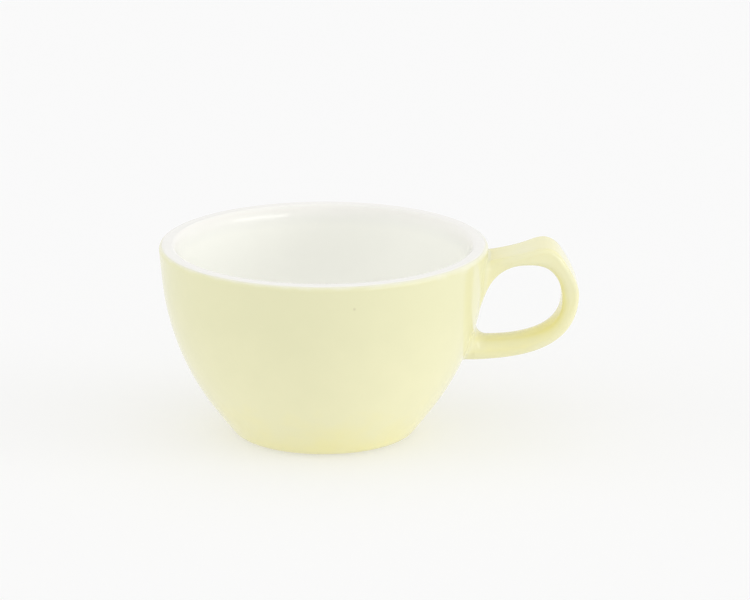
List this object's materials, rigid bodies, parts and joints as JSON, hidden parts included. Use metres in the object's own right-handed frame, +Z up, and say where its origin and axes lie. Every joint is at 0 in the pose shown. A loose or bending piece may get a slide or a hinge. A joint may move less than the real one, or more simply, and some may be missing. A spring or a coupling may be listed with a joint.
{
  "type": "coffee cup",
  "caption": "Low, wide coffee cup: tapered bowl with a thick rounded lip and recessed foot, and a strap handle with a thumb rest. White glaze inside, pale yellow outside.",
  "frame": {"origin": "centre of the foot ring, in the plane that it stands on, on the bowl's axis", "axes": "+Z up along the bowl's axis, +X towards the handle"},
  "size_m": [0.1249, 0.098, 0.0587],
  "materials": {
    "bare_clay": "matt, unglazed",
    "white_glaze": "gloss",
    "yellow_glaze": "gloss",
    "slip": "matt, unglazed"
  },
  "bodies": {
    "root": {"bowl": "bare_clay", "inner_glaze": "white_glaze", "outer_glaze": "yellow_glaze", "base_glaze": "yellow_glaze", "handle": "bare_clay", "handle_glaze": "yellow_glaze", "upper_slip_joint": "slip", "lower_slip_joint": "slip"}
  },
  "joints": []
}
